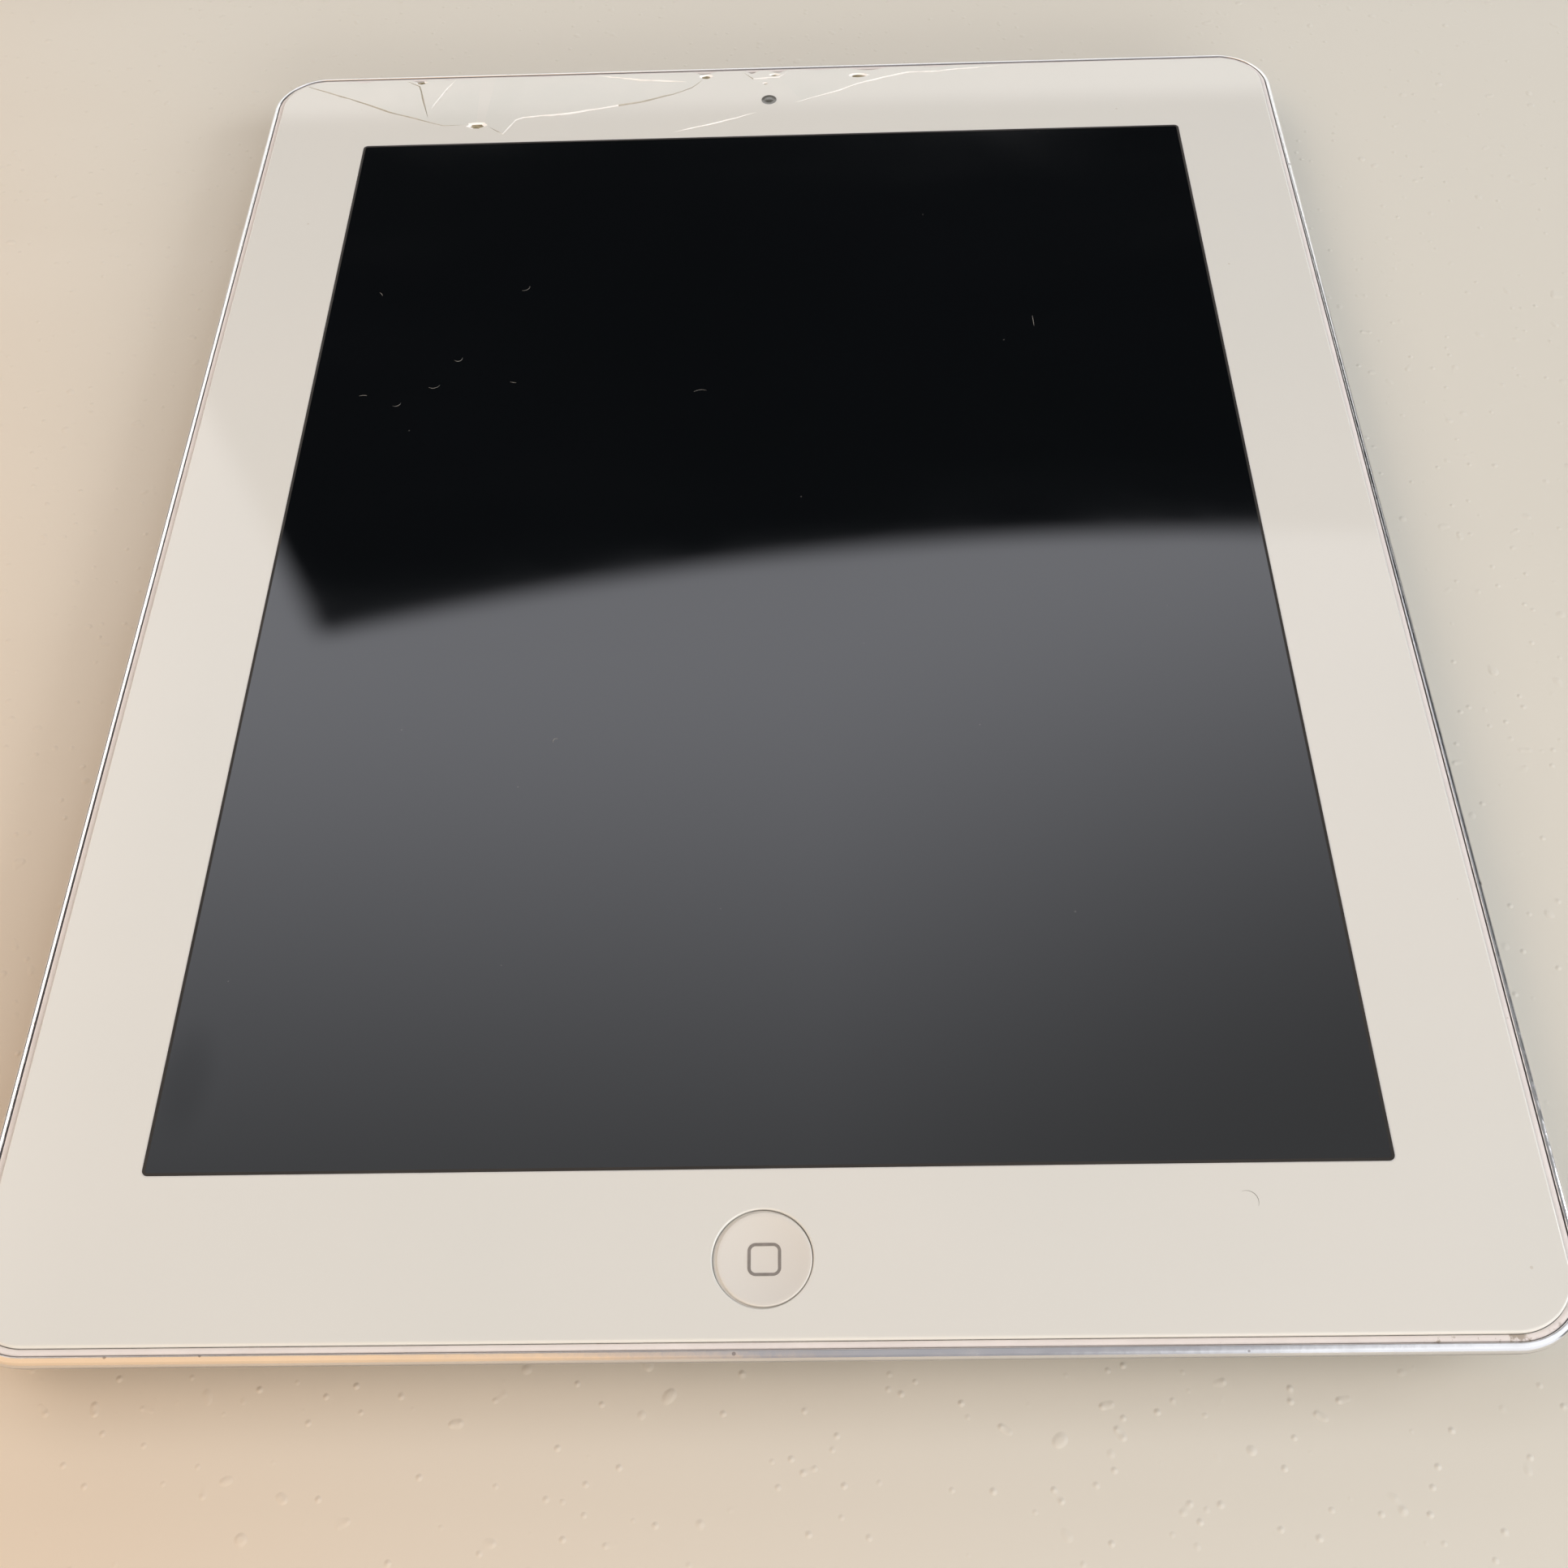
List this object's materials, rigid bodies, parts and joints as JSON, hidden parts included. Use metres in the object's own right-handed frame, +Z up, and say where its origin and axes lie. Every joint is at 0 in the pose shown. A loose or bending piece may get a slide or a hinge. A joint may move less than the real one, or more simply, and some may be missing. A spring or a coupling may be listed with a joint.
{
  "type": "tablet computer",
  "caption": "Slab tablet computer with a white-bordered glass front, a round home button and a curved metal back, with its inner parts.",
  "frame": {"origin": "under the middle of the flat back, on the surface that the tablet lies on", "axes": "+X across the screen to the right, +Y along the screen from the home button to the front camera, +Z up out of the glass"},
  "size_m": [0.1856, 0.2412, 0.0088],
  "materials": {
    "blasted_aluminium": "fine bead-blasted and anodised silver back, with a polished narrow rim round the glass",
    "dark_plastic": "plain dark grey plastic window over the radio antenna",
    "white_backed_glass": "glossy flat glass with a white printed border behind it, scratched and with short cracks at the top edge",
    "adhesive": "black foam tape",
    "white_gasket": "off-white plastic strip between the glass and the metal rim",
    "stamped_steel": "thin stamped steel, dull",
    "light_guide": "milky light guide and reflector stack",
    "led_strip": "yellow phosphor lamps on a white strip",
    "display_glass": "black glossy display, switched off",
    "green_board": "green solder-masked circuit board",
    "white_button": "glossy white plastic dish with a thin grey-brown rounded square printed on it",
    "black_rubber": "soft black rubber",
    "switch_metal": "small stamped nickel-plated steel",
    "black_plastic": "moulded black plastic",
    "lens_glass": "dark coated lens glass",
    "polished_ring": "polished metal ring",
    "button_aluminium": "fine bead-blasted aluminium with a polished edge",
    "white_trim": "white plastic lining",
    "flex_circuit": "amber-brown flexible circuit",
    "acoustic_mesh": "fine black acoustic cloth",
    "battery_foil": "dark laminated pouch foil",
    "blue_board": "dark blue solder-masked circuit board",
    "chip_package": "moulded black chip package",
    "shield_metal": "folded tin-plated shield",
    "copper_film": "copper antenna film",
    "nickel_magnet": "nickel-plated magnet",
    "screw_steel": "small machine screw"
  },
  "bodies": {
    "housing": {"rear_cover": "blasted_aluminium", "antenna_window": "dark_plastic", "front_glass": "white_backed_glass", "glass_adhesive": "adhesive", "edge_gasket": "white_gasket", "display_tray": "stamped_steel", "display_backlight": "light_guide", "backlight_led_bar": "led_strip", "display_cell": "display_glass", "display_driver_board": "green_board", "home_button_seal": "black_rubber", "home_switch": "switch_metal", "home_bracket": "stamped_steel", "front_camera": "black_plastic", "front_camera_lens": "lens_glass", "light_sensor": "black_plastic", "rear_camera": "black_plastic", "rear_camera_ring": "polished_ring", "rear_camera_window": "lens_glass", "power_switch": "black_plastic", "volume_switch_board": "black_plastic", "side_switch_body": "black_plastic", "side_bracket": "stamped_steel", "headphone_jack": "black_plastic", "headphone_ring": "white_trim", "microphone": "switch_metal", "dock_shell": "stamped_steel", "dock_tongue": "black_plastic", "dock_flex": "flex_circuit", "speaker_module": "black_plastic", "speaker_mesh": "acoustic_mesh", "battery_cell_1": "battery_foil", "battery_cell_2": "battery_foil", "battery_cell_3": "battery_foil", "battery_board": "green_board", "logic_board": "blue_board", "processor": "chip_package", "memory_chip": "chip_package", "shield_can_1": "shield_metal", "shield_can_2": "shield_metal", "wireless_board": "blue_board", "window_antenna": "copper_film", "display_cable": "flex_circuit", "touch_cable": "flex_circuit", "magnet_left_1": "nickel_magnet", "magnet_left_2": "nickel_magnet", "magnet_right_1": "nickel_magnet", "magnet_right_2": "nickel_magnet", "display_screw_1": "screw_steel", "display_screw_2": "screw_steel", "display_screw_3": "screw_steel", "display_screw_4": "screw_steel", "home_screw_1": "screw_steel", "board_screw_1": "screw_steel", "home_screw_2": "screw_steel", "board_screw_2": "screw_steel"},
    "home_key": {"home_button": "white_button"},
    "power_key": {"power_button": "button_aluminium"},
    "volume_key": {"volume_rocker": "button_aluminium"},
    "switch_key": {"side_switch": "button_aluminium"}
  },
  "joints": [
    {"name": "home_button_press", "type": "slide", "parent": "housing", "child": "home_key", "axis": [0, 0, -1], "range_m": [0, 0.00035], "stiffness_N_per_m": 3000, "springref_m": -0.0002},
    {"name": "power_button_press", "type": "slide", "parent": "housing", "child": "power_key", "axis": [0, -1, 0], "range_m": [0, 0.00035], "stiffness_N_per_m": 3000, "springref_m": -0.0002},
    {"name": "volume_rocker_tilt", "type": "hinge", "parent": "housing", "child": "volume_key", "pos_m": [0.0877, 0.0756, 0.005], "axis": [0, 0, 1], "range_deg": [-2.5, 2.5], "stiffness_Nm_per_rad": 0.3},
    {"name": "side_switch_slide", "type": "slide", "parent": "housing", "child": "switch_key", "axis": [0, 1, 0], "range_m": [0, 0.0018]}
  ]
}
